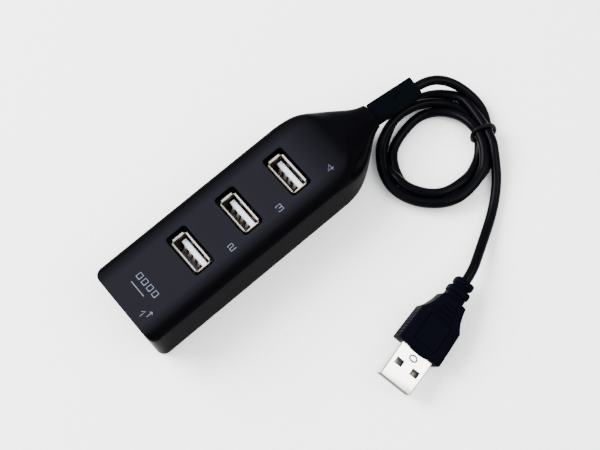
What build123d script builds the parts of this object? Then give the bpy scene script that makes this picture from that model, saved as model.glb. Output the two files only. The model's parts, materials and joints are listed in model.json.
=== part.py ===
from build123d import *
import math
import os

os.makedirs("parts", exist_ok=True)

# Four-port USB hub lying on a table, in millimetres. The origin is the centre of the housing's footprint,
# +X runs along the housing towards the cable, +Y across it, +Z up.

# ---------------------------------------------------------------- driving dimensions
LENGTH = 102.0            # housing, from the end port's face to the neck's mouth
WIDTH = 30.4
HEIGHT = 21.0
WALL = 1.8
PARTING = 6.4             # height of the joint between the two shells
NOSE_START = 21.0         # the straight body ends here and the nose begins
END_CORNER = 3.0          # plan radius of the flat end's two corners
NOSE_STEPS = 14
END_X = -LENGTH / 2
NECK_X = LENGTH / 2
NECK_Z = 10.5             # height of the cable's axis in the neck

BOARD_TOP = 6.2
BOARD_THICKNESS = 1.6
BOARD_HALF_WIDTH = 12.4
BOARD_X = (END_X + 2.6, 33.0)

PORT_X = (-23.3, -3.6, 16.1)   # the three upright receptacles; the fourth lies in the end face
RIM_DEPTH = 1.2                # the rims sit this far below the housing's face
PORT_OPENING = (7.9, 16.0)     # the housing's cut-out round a rim
SHELL_X, SHELL_Y = 5.7, 13.1   # receptacle shell, outside
SHEET = 0.3
RECEPTACLE_HEIGHT = HEIGHT - RIM_DEPTH - BOARD_TOP
LIP_HEIGHT = 0.7
LIP_FLARE = 0.55
TONGUE_OFFSET = 0.94
TONGUE_THICKNESS = 1.84
TONGUE_WIDTH = 11.1
TONGUE_TOP = RECEPTACLE_HEIGHT - 3.2
BASE_HEIGHT = 2.6
CONTACT_Y = (-3.5, -1.0, 1.0, 3.5)
CONTACT_WIDTH = 1.0
CONTACT_THICKNESS = 0.25
CONTACT_BOW = 0.9              # how far a leaf stands out of the tongue's face
GROOVE_WIDTH = 1.4
GROOVE_DEPTH = 0.8
PIN = 0.6
PIN_BELOW = 2.4

CABLE = 3.3
SLEEVE_LENGTH, SLEEVE_WIDTH, SLEEVE_THICKNESS = 18.0, 7.0, 5.0
SLEEVE_GAP = 0.45         # between the neck's mouth and the strain relief's block
SLEEVE_TURN = -6.5        # degrees about Z, the way the cable pulls it
COIL_CENTRE = (61.0, -21.5)
COIL_HEIGHT = 2 * CABLE
TIE_ANGLE = -19.0         # degrees about the coil's centre
TIE_WIRE = 1.1
TIE_SPAN = (10.0, 8.0)    # across the hank and over it

PLUG_ROOT = (10.44, -67.76, 6.6)   # centre of the plug's shell where it leaves the overmould
PLUG_HEADING = 194.0
PLUG_ROLL = -22.0
PLUG_PITCH = -1.5
PLUG_SHELL = (12.0, 4.5)
PLUG_LENGTH = 12.6
PLUG_ROOT_DEPTH = 7.0     # of the shell, inside the overmould
PLUG_WINDOW = (2.3, 2.8)  # along and across
PLUG_WINDOW_AT = (6.4, 3.05)
OVERMOULD_HALF_WIDTH = 8.05
OVERMOULD_THICKNESS = 7.6
PLUG_REAR = -27.5         # where the cable enters the plug, measured from the shell's root


def save(node, *solids):
    shape = solids[0] if len(solids) == 1 else Compound(children=[s for s in solids])
    export_step(shape, f"parts/{node}.step")


def block(x, y, z):
    """A box given by its lowest and highest x, y and z."""
    size = (x[1] - x[0], y[1] - y[0], z[1] - z[0])
    centre = ((x[0] + x[1]) / 2, (y[0] + y[1]) / 2, (z[0] + z[1]) / 2)
    return Pos(*centre) * Box(*size)


def rounded_slab(size_x, size_y, z, radius):
    """An upright prism of a rounded rectangle centred on the Z axis."""
    return extrude(Pos(0, 0, z[0]) * RectangleRounded(size_x, size_y, radius), z[1] - z[0])


# ---------------------------------------------------------------- housing
NECK = (4.3, 6.1, 14.9)   # half width, underside and top of the neck's mouth


def ease(x, start, end, power):
    """Falls smoothly from 1 at start to 0 at end; a larger power keeps it high for longer."""
    t = min(max((x - start) / (end - start), 0.0), 1.0)
    return (1 + math.cos(math.pi * t**power)) / 2


def nose_row(x):
    """Half width, half width of the flat top, top, drop of the shoulder, underside and lower corner at x."""
    spread = ease(x, 24, 52, 1.5)
    half = NECK[0] + (WIDTH / 2 - NECK[0]) * spread
    low = NECK[1] * (1 - ease(x, 30, 52, 1.35))
    top = NECK[2] + (HEIGHT - NECK[2]) * ease(x, 30, 52, 1.29)
    flat = 0.6 + 11.1 * ease(x, 22, 40, 2.2)
    drop = 3.5 + (0.47 * (top - low) - 3.5) * (1 - ease(x, 22, 38, 1.0))
    corner = 0.7 + 3.0 * (1 - spread)
    return half, flat, top, drop, low, corner


def section(x, inset=0.0):
    """The housing's section at x, a flat top with elliptical shoulders, drawn inset from its outside."""
    half, flat, top, drop, low, corner = nose_row(x)
    half, top, low = half - inset, top - inset, low + inset
    flat, drop, corner = max(flat - 0.2 * inset, 0.3), drop - 0.8 * inset, max(corner - 0.8 * inset, 0.3)
    shoulder = half - flat
    plane = Plane(origin=(x, 0, 0), x_dir=(0, 1, 0), z_dir=(1, 0, 0))
    right_foot = (half - corner, low)
    edges = [
        Line((corner - half, low), right_foot),
        CenterArc((half - corner, low + corner), corner, -90, 90),
        Line((half, low + corner), (half, top - drop)),
        EllipticalCenterArc((flat, top - drop), shoulder, drop, 0, arc_size=90),
        Line((flat, top), (-flat, top)),
        EllipticalCenterArc((-flat, top - drop), shoulder, drop, 90, arc_size=90),
        Line((-half, top - drop), (-half, low + corner)),
        CenterArc((corner - half, low + corner), corner, 180, 90),
    ]
    return plane * Face(Wire(edges))


def housing_body(inset=0.0, open_neck=0.0):
    """The whole outer form, or the same form inset from it for the cavity and the lip."""
    straight = extrude(section(NOSE_START, inset), NOSE_START - END_X - inset, dir=(-1, 0, 0))
    plan = block((END_X + inset, NOSE_START + 1), (-WIDTH / 2 + inset, WIDTH / 2 - inset), (-1, HEIGHT + 1))
    end_corners = plan.edges().filter_by(Axis.Z).sort_by(Axis.X)[:2]
    straight = straight & fillet(end_corners, max(END_CORNER - inset, 0.4))
    step = (NECK_X - NOSE_START) / NOSE_STEPS
    nose = loft([section(NOSE_START + i * step, inset) for i in range(NOSE_STEPS + 1)])
    if open_neck:
        nose = nose - block((NECK_X - open_neck, NECK_X + 1), (-20, 20), (-1, 30))
    reach = WIDTH / 2 - inset
    return (straight + nose) & block((END_X, NECK_X), (-reach, reach), (inset, HEIGHT - inset))


def slab(low, high):
    return block((END_X - 5, NECK_X + 5), (-WIDTH, WIDTH), (low, high))


def port_opening():
    return rounded_slab(*PORT_OPENING, (HEIGHT - WALL - 1, HEIGHT + 1), 1.2)


def snap_lugs(size):
    """Six small lugs along the lower shell's lip, or their recesses in the upper shell."""
    lugs = []
    for x in (-40, -13.5, 18):
        for side in (-1, 1):
            y = side * (WIDTH / 2 - 0.95)
            lugs.append(Pos(x, y, PARTING + 0.9) * Box(4 + size, 0.7 + size, 0.5 + size))
    return lugs


def sleeve_frame(at=0.0):
    """The strain relief's own frame, its origin on the neck's mouth and +X along the cable."""
    return Pos(NECK_X, 0, NECK_Z) * Rot(0, 0, SLEEVE_TURN) * Pos(at, 0, 0)


def neck_slot(clearance):
    """The passage through the neck that the strain relief's waist fills."""
    return sleeve_frame(-2.6) * Box(6.4, 5.2 + clearance, 3.8 + clearance)


def build_housing():
    outer = housing_body()
    cavity = housing_body(inset=WALL, open_neck=4.0)
    lip_zone = housing_body(inset=0.95, open_neck=3.0) & slab(PARTING, PARTING + 1.4)
    rebate_zone = housing_body(inset=0.85, open_neck=3.0) & slab(PARTING, PARTING + 1.5)

    end_centre_z = BOARD_TOP + SHELL_X / 2 + 0.1
    end_window = Pos(END_X, 0, end_centre_z) * Rot(0, -90, 0) * rounded_slab(7.1, 14.5, (-WALL - 1, 1), 0.8)

    upper = (outer & slab(PARTING, HEIGHT + 1)) - cavity - rebate_zone - end_window
    for x in PORT_X:
        upper = upper - Pos(x, 0, 0) * port_opening()
    for lug in snap_lugs(0.2):
        upper = upper - lug
    for x in (-13.45, 6.25):
        for y in (-9.5, 9.5):
            upper = upper + Pos(x, y, (BOARD_TOP + HEIGHT - 1) / 2) * Cylinder(1.4, HEIGHT - 1 - BOARD_TOP)
    upper = upper - neck_slot(0.0)

    lower = (outer & slab(-1, PARTING)) - cavity + (lip_zone - housing_body(inset=WALL, open_neck=3.0))
    lower = lower - end_window
    for lug in snap_lugs(0.0):
        lower = lower + lug
    post_top = BOARD_TOP - BOARD_THICKNESS
    for x in (-44, -13.45, 6.25, 29):
        for y in (-10.6, 10.6):
            lower = lower + Pos(x, y, (post_top + 1) / 2) * Cylinder(1.5, post_top - 1)
    save("upper_case", upper)
    save("lower_case", lower)


# ---------------------------------------------------------------- receptacles
# Each one is drawn about +Z, its mouth up and its base on the board, then placed.
END_PORT_Z = BOARD_TOP + SHELL_X / 2 + 0.1
END_PORT = Pos(END_X + RIM_DEPTH + RECEPTACLE_HEIGHT, 0, END_PORT_Z) * Rot(0, -90, 0)
PLACES = [END_PORT] + [Pos(x, 0, BOARD_TOP) for x in PORT_X]


def lip(length, reach):
    """One flared lip along X, starting at the origin and leaning out towards +Y."""
    profile = Polyline((0, 0), (reach, LIP_HEIGHT), (reach + SHEET, LIP_HEIGHT - 0.1), (SHEET, -0.05), (0, 0))
    face = Plane(origin=(-length / 2, 0, 0), x_dir=(0, 1, 0), z_dir=(1, 0, 0)) * Face(Wire(profile.edges()))
    return extrude(face, length, dir=(1, 0, 0))


def receptacle_shell(upright):
    top = RECEPTACLE_HEIGHT - LIP_HEIGHT
    tube = rounded_slab(SHELL_X, SHELL_Y, (0.1, top), 0.7)
    tube = tube - rounded_slab(SHELL_X - 2 * SHEET, SHELL_Y - 2 * SHEET, (-1, top + 1), 0.45)
    for y in (-3.2, 3.2):
        for side in (-1, 1):
            x = side * (SHELL_X / 2 - SHEET / 2)
            slot = Pos(x, y, 7.4) * Box(1, 1.9, 5.4)
            spring = Pos(x - side * 0.12, y, 7.1) * Box(SHEET, 1.3, 5.0)
            tube = tube - slot + spring + Pos(x, y, 4.8) * Box(SHEET, 1.9, 0.6)
    for side in (0, 180):
        long_place = Pos(0, 0, top) * Rot(0, 0, 90 + side) * Pos(0, SHELL_X / 2 - SHEET, 0)
        short_place = Pos(0, 0, top) * Rot(0, 0, side) * Pos(0, SHELL_Y / 2 - SHEET, 0)
        long_lip = long_place * lip(10.6, LIP_FLARE)
        short_lip = short_place * lip(3.4, LIP_FLARE)
        tube = tube + long_lip + short_lip
    for side in (-1, 1):
        if upright:
            leg = block((-0.8, 0.8), (-SHEET / 2, SHEET / 2), (-PIN_BELOW, 0.8))
            tube = tube + Pos(0, side * (SHELL_Y / 2 - SHEET / 2), 0) * leg
        else:
            leg = block((-SHELL_X / 2 - PIN_BELOW, 0), (-SHEET / 2, SHEET / 2), (3.2, 4.8))
            tube = tube + Pos(0, side * (SHELL_Y / 2 - SHEET / 2), 0) * leg
    return tube


def receptacle_insulator():
    base = block((-SHELL_X / 2 + SHEET, SHELL_X / 2 - SHEET), (-5.9, 5.9), (0, BASE_HEIGHT))
    back = TONGUE_OFFSET + TONGUE_THICKNESS / 2
    front = TONGUE_OFFSET - TONGUE_THICKNESS / 2
    tongue = block((front, back), (-TONGUE_WIDTH / 2, TONGUE_WIDTH / 2), (BASE_HEIGHT - 0.1, TONGUE_TOP))
    tongue = chamfer(tongue.edges().group_by(Axis.Z)[-1].filter_by(Axis.Y), 0.3)
    solid = base + tongue
    for y in CONTACT_Y:
        groove = block((front - 1, front + GROOVE_DEPTH), (-GROOVE_WIDTH / 2, GROOVE_WIDTH / 2),
                       (BASE_HEIGHT, TONGUE_TOP - 0.4))
        solid = solid - Pos(0, y, 0) * groove
    return solid


def contact_leaf():
    """A sprung leaf: a bowed strip whose bow stands clear of the tongue's face."""
    front = TONGUE_OFFSET - TONGUE_THICKNESS / 2
    bow = front - CONTACT_BOW
    line = ((front + 0.45, BASE_HEIGHT + 0.3), (front + 0.25, 5.4), (bow, 7.4), (bow, 7.9), (front - 0.1, 9.6))
    face_side = [(x - CONTACT_THICKNESS / 2, z) for x, z in line]
    back_side = [(x + CONTACT_THICKNESS / 2, z) for x, z in reversed(line)]
    outline = Polyline(*face_side, *back_side, face_side[0])
    side = Plane(origin=(0, -CONTACT_WIDTH / 2, 0), x_dir=(1, 0, 0), z_dir=(0, -1, 0))
    return extrude(side * Face(Wire(outline.edges())), CONTACT_WIDTH, dir=(0, 1, 0))


def pin_positions():
    """Board positions of every signal pin, port by port."""
    rows = [[(END_X + RIM_DEPTH + RECEPTACLE_HEIGHT + 1.2, y) for y in CONTACT_Y]]
    rows += [[(x + TONGUE_OFFSET, y) for y in CONTACT_Y] for x in PORT_X]
    return rows


def leg_positions():
    """Board slots of the receptacles' two legs: x, y and half length along X."""
    end_leg_x = END_X + RIM_DEPTH + RECEPTACLE_HEIGHT - 4.0
    spots = [(end_leg_x, side * (SHELL_Y / 2 - SHEET / 2)) for side in (-1, 1)]
    spots += [(x, side * (SHELL_Y / 2 - SHEET / 2)) for x in PORT_X for side in (-1, 1)]
    return spots


def build_receptacles():
    for number, place in enumerate(PLACES, start=1):
        upright = number > 1
        save(f"port_{number}_shell", place * receptacle_shell(upright))
        save(f"port_{number}_insulator", place * receptacle_insulator())
        leaves = [place * Pos(0, y, 0) * contact_leaf() for y in CONTACT_Y]
        save(f"port_{number}_contacts", *leaves)
    pins = []
    tail = BOARD_TOP - BOARD_THICKNESS - 0.9
    for port, row in enumerate(pin_positions()):
        for x, y in row:
            top = BOARD_TOP + SHELL_X / 2 if port == 0 else BOARD_TOP
            pin = block((x - PIN / 2, x + PIN / 2), (y - PIN / 2, y + PIN / 2), (tail, top))
            if port == 0:
                back = END_X + RIM_DEPTH + RECEPTACLE_HEIGHT
                pin = pin + block((back, x + PIN / 2), (y - PIN / 2, y + PIN / 2), (top - PIN, top))
            pins.append(pin)
    save("receptacle_pins", *pins)


# ---------------------------------------------------------------- circuit board and what it carries
WIRE_PADS = [(29.6, y) for y in (-4.5, -1.5, 1.5, 4.5)]


def build_board():
    low, high = BOARD_X
    thickness = (BOARD_TOP - BOARD_THICKNESS, BOARD_TOP)
    board = block((low, high), (-BOARD_HALF_WIDTH, BOARD_HALF_WIDTH), thickness)
    board = chamfer(board.edges().filter_by(Axis.Z), 2.0)
    for row in pin_positions():
        for x, y in row:
            board = board - Pos(x, y, BOARD_TOP - 1) * Cylinder(0.5, 6)
    for x, y in leg_positions():
        board = board - Pos(x, y, BOARD_TOP - 1) * Box(2.0, 0.8, 6)
    save("circuit_board", board)


def chip_leads(centre_x, centre_y, count, pitch, reach):
    """Two rows of gull-wing leads beside a chip, each lead one foot and one riser."""
    leads = []
    for i in range(count):
        x = centre_x + (i - (count - 1) / 2) * pitch
        for side in (-1, 1):
            riser = block((-0.2, 0.2), (0, 0.5), (0, 0.9))
            foot = block((-0.2, 0.2), (0.5, 1.2), (0, 0.2))
            lead = riser + foot
            place = Pos(x, centre_y, BOARD_TOP) * Rot(0, 0, 0 if side > 0 else 180) * Pos(0, reach, 0)
            leads.append(place * lead)
    return leads


def build_components():
    chip_x, chip_y = 6.25, 0.0
    chip = Pos(chip_x, chip_y, BOARD_TOP + 0.95) * Box(9.9, 3.9, 1.5)
    chip = chamfer(chip.edges().group_by(Axis.Z)[-1], 0.2)
    save("hub_controller_chip", chip - Pos(chip_x - 4.2, chip_y - 1.2, BOARD_TOP + 1.7) * Cylinder(0.4, 0.3))
    save("chip_leads", *chip_leads(chip_x, chip_y, 8, 1.27, 1.95))

    can = extrude(Pos(-13.45, 0, BOARD_TOP) * Rot(0, 0, 90) * SlotOverall(10.8, 4.4), 3.4)
    rim = extrude(Pos(-13.45, 0, BOARD_TOP) * Rot(0, 0, 90) * SlotOverall(11.4, 5.0), 0.4)
    save("crystal", can + rim)

    drums = []
    for x, y in ((26.0, -7.6), (26.0, 7.6)):
        drum = Pos(x, y, BOARD_TOP + 2.7) * Cylinder(2.5, 5.4)
        drums.append(drum - Pos(x, y, BOARD_TOP + 5.4) * Torus(2.5, 0.15))
    save("electrolytic_capacitors", *drums)

    small_caps = [Pos(x, y, BOARD_TOP + 0.5) * Box(2.0, 1.25, 1.0)
                  for x in (-31.5, -13.45, 6.25) for y in (-7.4, 7.4)]
    save("chip_capacitors", *small_caps)
    resistors = [Pos(x, y, BOARD_TOP + 0.28) * Box(1.6, 0.8, 0.55)
                 for x in (-31.5, 24.5) for y in (-3.2, -1.1, 1.1, 3.2)]
    save("chip_resistors", *resistors)


# ---------------------------------------------------------------- cable
def tube(points, diameter, label):
    """A round tube along straight runs joined by tangent arcs as large as the runs allow."""
    vectors = [Vector(*p) for p in points]
    radii = []
    for a, b, c in zip(vectors, vectors[1:], vectors[2:]):
        half_turn = math.radians((b - a).get_angle(c - b)) / 2
        radii.append(0.45 * min((b - a).length, (c - b).length) / math.tan(half_turn))
    path = FilletPolyline(*points, radius=radii)
    start = Plane(origin=path @ 0, z_dir=path % 0)
    solid = sweep(start * Circle(diameter / 2), path=path)
    expected = math.pi * diameter**2 / 4 * path.length
    print(label, "length", round(path.length, 1), "volume ratio", round(solid.volume / expected, 4),
          "radii", [round(r, 1) for r in radii])
    return solid


LEAD_ROUTE = (
    (68.88, -2.04, 10.5), (73.05, -2.52, 10.5), (77.5, -4.55, 9.6), (81.0, -8.15, 7.4),
    (82.8, -12.9, 5.0), (83.1, -18.2, 3.2), (82.0, -22.7, 2.4), (80.3, -26.2, 2.2),
)
TAIL_ROUTE = (
    (77.3, -29.8, 5.2), (73.9, -35.2, 4.2), (69.0, -41.4, 2.4), (62.0, -47.5, 1.8),
    (54.4, -52.9, 2.5), (46.9, -57.4, 4.2), (41.19, -60.09, 5.77), (37.13, -61.1, 5.88),
)
# The hank's outline seen from above: angle and radius about its centre
COIL_OUTLINE = (
    (0, 20.0), (35, 22.5), (70, 22.3), (100, 19.8), (125, 19.5),
    (160, 21.2), (200, 21.2), (240, 19.7), (280, 18.5), (320, 18.6),
)
COIL_HOLE_RADIUS = 12.4


def polar(angle, radius):
    turn = math.radians(angle)
    return (COIL_CENTRE[0] + radius * math.cos(turn), COIL_CENTRE[1] + radius * math.sin(turn))


def tie_band():
    """A thin wire tie round the hank, its lower run pressed into the underside."""
    turn = math.radians(TIE_ANGLE)
    along = (math.cos(turn), math.sin(turn), 0)
    upright = Plane(origin=(*polar(TIE_ANGLE, 16.6), 0), x_dir=along, z_dir=(along[1], -along[0], 0))
    size_r, size_z = TIE_SPAN
    band = Pos(0, size_z / 2) * RectangleRounded(size_r, size_z, 3.0)
    band = band - Pos(0, size_z / 2) * RectangleRounded(size_r - 2 * TIE_WIRE, size_z - 2 * TIE_WIRE, 1.9)
    return extrude(upright * band, TIE_WIRE / 2, both=True)


def build_cable():
    lead = tube(LEAD_ROUTE, CABLE, "cable_lead")
    tail = tube(TAIL_ROUTE, CABLE, "cable_tail")
    tie = tie_band() - lead - tail
    outline = Spline([polar(*spot) for spot in COIL_OUTLINE], periodic=True)
    hank = extrude(Face(Wire(outline.edges())), COIL_HEIGHT)
    hole = Pos(*polar(180, 0.3), COIL_HEIGHT / 2) * Cylinder(COIL_HOLE_RADIUS, COIL_HEIGHT + 1)
    save("cable_lead", lead)
    save("cable_tail", tail)
    save("cable_tie", tie)
    save("cable_coil", hank - hole - lead - tail - tie)


def build_strain_relief():
    body_length = SLEEVE_LENGTH - SLEEVE_GAP
    block_body = sleeve_frame(SLEEVE_GAP + body_length / 2) * Box(body_length, SLEEVE_WIDTH, SLEEVE_THICKNESS)
    block_body = fillet(block_body.edges(), 0.5)
    waist = neck_slot(-0.04)
    flange = sleeve_frame(-6.4) * Box(1.6, 7.0, 5.6)
    bore = sleeve_frame(5) * Rot(0, 90, 0) * Cylinder(CABLE / 2, 60)
    dimple = sleeve_frame(10.5) * Pos(0, 0, SLEEVE_THICKNESS / 2) * scale(Sphere(1), by=(1.3, 0.85, 0.5))
    save("strain_relief", block_body + waist + flange - bore - dimple)

    inner_length = SLEEVE_LENGTH + 11.0
    middle = sleeve_frame(SLEEVE_LENGTH - inner_length / 2)
    save("cable_inner_end", middle * Rot(0, 90, 0) * Cylinder(CABLE / 2, inner_length))


WIRE_COLOURS = ("red", "white", "green", "black")
WIRE_DIAMETER = 0.9


def build_wires():
    """Four insulated wires fan out from the jacket's cut end to their pads, with a solder joint on each."""
    cut = sleeve_frame(-11.0)
    joints = []
    for colour, (pad_x, pad_y), (off_y, off_z) in zip(WIRE_COLOURS, WIRE_PADS,
                                                     ((-0.7, -0.7), (-0.7, 0.7), (0.7, 0.7), (0.7, -0.7))):
        start = (cut * Pos(0, off_y, off_z)).position
        path = ((start.X, start.Y, start.Z), (start.X - 2.6, start.Y + off_y * 0.6, start.Z - 0.2),
                (pad_x + 3.0, pad_y, BOARD_TOP + 1.1), (pad_x + 0.6, pad_y, BOARD_TOP + 0.55))
        save(f"wire_{colour}", tube(path, WIRE_DIAMETER, f"wire_{colour}"))
        dome = Pos(pad_x - 0.4, pad_y, BOARD_TOP) * scale(Sphere(1.0), by=(1.0, 0.9, 0.9))
        joints.append(dome & slab(BOARD_TOP, BOARD_TOP + 3))
    save("solder_joints", *joints)


# ---------------------------------------------------------------- plug
PLUG = Pos(*PLUG_ROOT) * Rot(0, 0, PLUG_HEADING) * Rot(0, PLUG_PITCH, 0) * Rot(PLUG_ROLL, 0, 0)


def overmould():
    """The plug's grip: a wide flat body with a tab at its front, concave shoulders, a collar and a ring."""
    half = OVERMOULD_HALF_WIDTH
    side = [(0.4, half), (-12.2, half - 0.4), (-19.8, 4.3), (-20.6, 3.5)]
    right = Line(side[0], side[1]) + ThreePointArc(side[1], (-15.4, 5.3), side[2]) + Line(side[2], side[3])
    mirrored = mirror(right, about=Plane.XZ)
    rear = Line(side[3], (side[3][0], -side[3][1]))
    front = Line(side[0], (side[0][0], -side[0][1]))
    outline = Face(Wire([*right.edges(), *mirrored.edges(), *rear.edges(), *front.edges()]))
    body = extrude(outline, OVERMOULD_THICKNESS / 2, both=True)
    rims = body.edges().filter_by(lambda e: abs(e.center().Z) > OVERMOULD_THICKNESS / 2 - 0.1)
    body = chamfer(rims.filter_by(lambda e: -19 < e.center().X < 0), 0.9)
    tab = extrude(Pos(0.1, 0, 0) * Ellipse(0.9, 4.2), 3.0, both=True)
    neck = Pos(-21.2, 0, 0) * Box(1.8, 6.6, 5.4)
    collar = Pos(-23.1, 0, 0) * Box(2.4, 7.4, 6.2)
    collar = fillet(collar.edges().filter_by(Axis.X), 1.6)
    core = Pos(-24.9, 0, 0) * Rot(0, 90, 0) * Cylinder(2.4, 2.4)
    ring = Pos(-26.3, 0, 0) * Rot(0, 90, 0) * Cylinder(3.3, 2.2)
    panel = Pos(-6.9, 0, OVERMOULD_THICKNESS / 2) * Box(9.4, 8.0, 0.4)
    solid = body + tab + neck + collar + core + ring - panel
    for i in range(3):
        bar = Pos(-13.3 - 1.8 * i, 0, OVERMOULD_THICKNESS / 2) * Box(0.9, 5.6 - 0.9 * i, 0.4)
        solid = solid - bar
    pocket = Pos(-3.0, 0, 0) * Box(10.0, *PLUG_SHELL)
    passage = Pos(-16, 0, 0) * Rot(0, 90, 0) * Cylinder(CABLE / 2, 24)
    return solid - pocket - passage


def plug_shell():
    length = PLUG_LENGTH + PLUG_ROOT_DEPTH
    width, thickness = PLUG_SHELL
    middle = Pos(PLUG_LENGTH - length / 2, 0, 0)
    sleeve = middle * Box(length, width, thickness)
    sleeve = fillet(sleeve.edges().filter_by(Axis.X), 0.5)
    sleeve = sleeve - middle * Box(length + 1, width - 2 * SHEET, thickness - 2 * SHEET)
    for side in (-1, 1):
        sleeve = sleeve - Pos(PLUG_WINDOW_AT[0], side * PLUG_WINDOW_AT[1], 0) * Box(*PLUG_WINDOW, 10)
    oval = Rot(0, 0, 90) * (SlotOverall(2.9, 2.1) - SlotOverall(2.2, 1.4))
    return sleeve - extrude(Pos(2.9, 0, thickness / 2 - 0.12) * oval, 1.0)


def build_plug():
    inner_half = PLUG_SHELL[1] / 2 - SHEET
    width = PLUG_SHELL[0] - 2 * SHEET
    tongue = block((-PLUG_ROOT_DEPTH, PLUG_LENGTH - 0.5), (-width / 2, width / 2), (-inner_half, -0.15))
    contacts = []
    for y, length in zip(CONTACT_Y, (7.4, 6.4, 6.4, 7.4)):
        tongue = tongue - block((2.0, 2.6 + length), (y - 0.5, y + 0.5), (-0.4, 1))
        contacts.append(PLUG * block((2.0, 2.6 + length), (y - 0.5, y + 0.5), (-0.4, -0.15)))
    core = block((-PLUG_ROOT_DEPTH, -1.5), (-width / 2, width / 2), (-0.15, inner_half))
    save("plug_overmould", PLUG * overmould())
    save("plug_shell", PLUG * plug_shell())
    save("plug_insulator", PLUG * tongue)
    save("plug_contacts", *contacts)
    save("plug_inner_moulding", PLUG * core)
    cable_end = Pos((PLUG_REAR - 8.0) / 2, 0, 0) * Rot(0, 90, 0) * Cylinder(CABLE / 2, -8.0 - PLUG_REAR)
    save("cable_plug_end", PLUG * cable_end)


build_housing()
build_receptacles()
build_board()
build_components()
build_strain_relief()
build_wires()
build_cable()
build_plug()
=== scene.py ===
import json
import math

import bmesh
import bpy
from mathutils import Matrix, Vector


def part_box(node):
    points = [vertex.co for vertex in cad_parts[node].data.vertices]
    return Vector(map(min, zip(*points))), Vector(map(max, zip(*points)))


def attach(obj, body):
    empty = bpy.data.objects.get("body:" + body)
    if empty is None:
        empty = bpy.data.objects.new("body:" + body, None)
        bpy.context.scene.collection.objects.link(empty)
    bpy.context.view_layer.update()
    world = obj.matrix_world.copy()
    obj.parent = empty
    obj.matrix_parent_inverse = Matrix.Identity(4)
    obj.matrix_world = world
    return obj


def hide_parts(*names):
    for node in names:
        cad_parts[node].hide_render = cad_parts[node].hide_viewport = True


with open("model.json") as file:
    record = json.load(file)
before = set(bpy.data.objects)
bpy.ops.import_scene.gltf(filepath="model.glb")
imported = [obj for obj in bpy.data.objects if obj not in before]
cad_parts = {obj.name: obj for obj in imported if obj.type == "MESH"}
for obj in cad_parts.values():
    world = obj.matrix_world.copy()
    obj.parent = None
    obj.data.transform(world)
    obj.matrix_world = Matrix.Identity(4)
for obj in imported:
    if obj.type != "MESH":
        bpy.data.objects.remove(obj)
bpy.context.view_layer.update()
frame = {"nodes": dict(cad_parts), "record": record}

MM = 0.001
HUB = "hub"


def add_object(name, data):
    made = bpy.data.objects.new(name, data)
    bpy.context.scene.collection.objects.link(made)
    return made


# ---------------------------------------------------------------- camera, floor and lights
# Places and sizes are in metres here, and the lens is in mm
CAMERA_PLACE = (-0.04819, -0.12940, 0.38638)
CAMERA_RIGHT = (0.7629, -0.6414, -0.0814)
CAMERA_UP = (0.6301, 0.7095, 0.3157)
CAMERA_LENS = 74.47
FLOOR_REACH = 3.0


def make_camera():
    """Looks steeply down on the hub, turned so that the housing runs up to the right."""
    data = bpy.data.cameras.new("camera")
    data.lens = CAMERA_LENS
    data.sensor_width = 36.0
    data.clip_start = 0.01
    right, up = Vector(CAMERA_RIGHT), Vector(CAMERA_UP)
    back = right.cross(up).normalized()
    camera = add_object("camera", data)
    rotation = Matrix((right, up, back)).transposed().to_4x4()
    camera.matrix_world = Matrix.Translation(CAMERA_PLACE) @ rotation
    bpy.context.scene.camera = camera


def make_light(name, place, target, size, power, colour=(1, 1, 1)):
    """A soft rectangular panel at place that faces the target."""
    data = bpy.data.lights.new(name, "AREA")
    data.shape = "RECTANGLE"
    data.size, data.size_y = size
    data.energy = power
    data.color = colour
    direction = Vector(target) - Vector(place)
    turn = direction.to_track_quat("-Z", "Y").to_matrix().to_4x4()
    add_object(name, data).matrix_world = Matrix.Translation(place) @ turn


def make_lights():
    """Two keys whiten the table, a weak overhead panel shows in the flat top, and a wide panel in front
    shows in the plug's tilted shell."""
    world = bpy.data.worlds.new("studio")
    world.use_nodes = True
    background = world.node_tree.nodes["Background"]
    background.inputs["Color"].default_value = (0.98, 0.985, 1.0, 1)
    background.inputs["Strength"].default_value = 1.2
    bpy.context.scene.world = world
    middle = (0.02, -0.02, 0)
    warm, cool = (1.0, 0.995, 0.99), (0.86, 0.93, 1.0)
    make_light("key_back", (-0.45, 0.9, 0.85), middle, (0.9, 0.9), 75, warm)
    make_light("key_left", (-0.95, 0.1, 0.8), middle, (0.7, 0.9), 6, warm)
    make_light("overhead", (0.17, 0.33, 1.1), (0.0, 0.0, 0), (0.55, 0.55), 2.0, cool)
    make_light("shell_panel", (0.43, -0.57, 1.01), (0.0, -0.06, 0), (0.95, 0.95), 22.0)


def make_floor():
    reach = FLOOR_REACH
    corners = [(-reach, -reach, 0), (reach, -reach, 0), (reach, reach, 0), (-reach, reach, 0)]
    mesh = bpy.data.meshes.new("floor")
    mesh.from_pydata(corners, [], [(0, 1, 2, 3)])
    mesh.materials.append(material("floor_paper", (0.93, 0.93, 0.93), 0.85, speck=(0.02, 900)))
    floor = add_object("floor", mesh)


# ---------------------------------------------------------------- materials
# The blacks bend light less than real plastic does, so that the pale table leaves them black
CASE_IOR = 1.025
CASE_BLACK = (0.0013, 0.0013, 0.0018)
# The mix node's two inputs and its result, by the kind of value that it mixes
MIX_SOCKETS = {"RGBA": (6, 7, 2), "FLOAT": (2, 3, 0)}


def mix_colour(nodes, links, factor, low, high):
    mix = nodes.new("ShaderNodeMix")
    mix.data_type = "RGBA"
    a, b, out = MIX_SOCKETS["RGBA"]
    mix.inputs[a].default_value = (*low, 1)
    mix.inputs[b].default_value = (*high, 1)
    links.new(factor, mix.inputs[0])
    return mix.outputs[out]


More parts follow.
